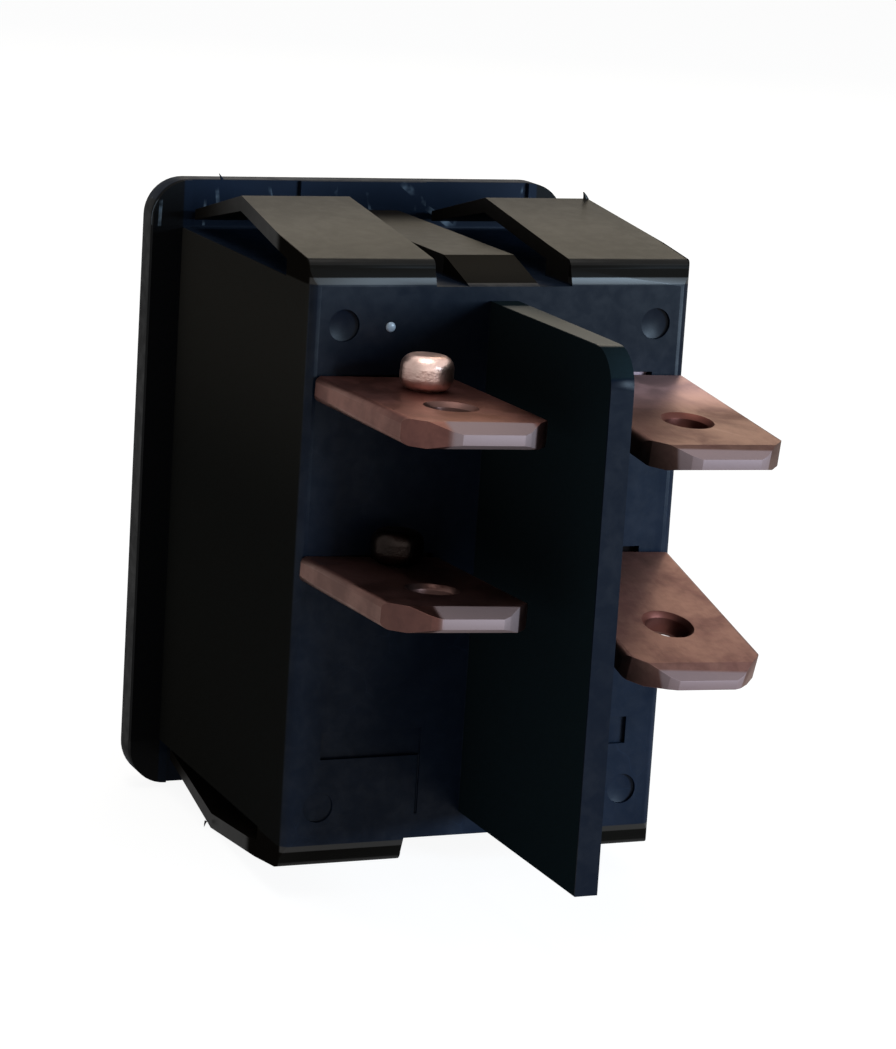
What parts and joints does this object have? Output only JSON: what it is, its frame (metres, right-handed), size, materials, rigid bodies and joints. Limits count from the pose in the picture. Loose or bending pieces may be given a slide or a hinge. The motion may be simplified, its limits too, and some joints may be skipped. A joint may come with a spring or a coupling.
{
  "type": "panel rocker switch",
  "caption": "Small snap-in panel rocker switch with a bezel, sprung latch arms, a barrier and blade tabs on the back.",
  "frame": {"origin": "centre of the panel cut-out, in the plane of the bezel's back, which is the panel's front face", "axes": "+Y rearward out of the panel towards the blade tabs, +Z along the long side of the cut-out with the connected tab rows above the blank row, +X across the short side; the rocker faces -Y"},
  "size_m": [0.015, 0.0258, 0.0212],
  "materials": {
    "housing_nylon": "moulded, slight sheen",
    "rocker_nylon": "moulded, glossy",
    "plunger_brass": "turned",
    "spring_steel": "drawn wire",
    "lever_bronze": "stamped strip",
    "contact_silver": "silver rivet",
    "tab_left_copper": "tarnished stamped strip",
    "tab_right_copper": "stamped strip",
    "tab_rivet_copper": "headed rivet"
  },
  "bodies": {
    "switch_body": {"housing": "housing_nylon", "fixed_contact_left": "contact_silver", "fixed_contact_right": "contact_silver", "upper_terminal_left": "tab_left_copper", "upper_terminal_right": "tab_right_copper", "middle_terminal_left": "tab_left_copper", "middle_terminal_right": "tab_right_copper", "upper_tab_rivet": "tab_rivet_copper", "middle_tab_rivet": "tab_rivet_copper"},
    "rocker": {"rocker": "rocker_nylon", "plunger_spring_left": "spring_steel", "plunger_spring_right": "spring_steel"},
    "plunger_left": {"plunger_left": "plunger_brass"},
    "plunger_right": {"plunger_right": "plunger_brass"},
    "lever_left": {"contact_lever_left": "lever_bronze", "moving_contact_left": "contact_silver"},
    "lever_right": {"contact_lever_right": "lever_bronze", "moving_contact_right": "contact_silver"}
  },
  "joints": [
    {"name": "rocker_tilt", "type": "hinge", "parent": "switch_body", "child": "rocker", "pos_m": [0, 0.0004, 0], "axis": [1, 0, 0], "range_deg": [0, 24]},
    {"name": "lever_left_tilt", "type": "hinge", "parent": "switch_body", "child": "lever_left", "pos_m": [0.0036, 0.00941, 0], "axis": [1, 0, 0], "range_deg": [-9, 0]},
    {"name": "lever_right_tilt", "type": "hinge", "parent": "switch_body", "child": "lever_right", "pos_m": [-0.0036, 0.00941, 0], "axis": [1, 0, 0], "range_deg": [-9, 0]},
    {"name": "plunger_left_slide", "type": "slide", "parent": "rocker", "child": "plunger_left", "axis": [0, 0.9781, -0.2079], "range_m": [-0.0008, 0], "stiffness_N_per_m": 500, "springref_m": 0.0008, "deforming": ["plunger_spring_left"]},
    {"name": "plunger_right_slide", "type": "slide", "parent": "rocker", "child": "plunger_right", "axis": [0, 0.9781, -0.2079], "range_m": [-0.0008, 0], "stiffness_N_per_m": 500, "springref_m": 0.0008, "deforming": ["plunger_spring_right"]}
  ],
  "couplings": [
    {"joint": "lever_left_tilt", "follows": "rocker_tilt", "ratio": -0.375},
    {"joint": "lever_right_tilt", "follows": "rocker_tilt", "ratio": -0.375}
  ]
}
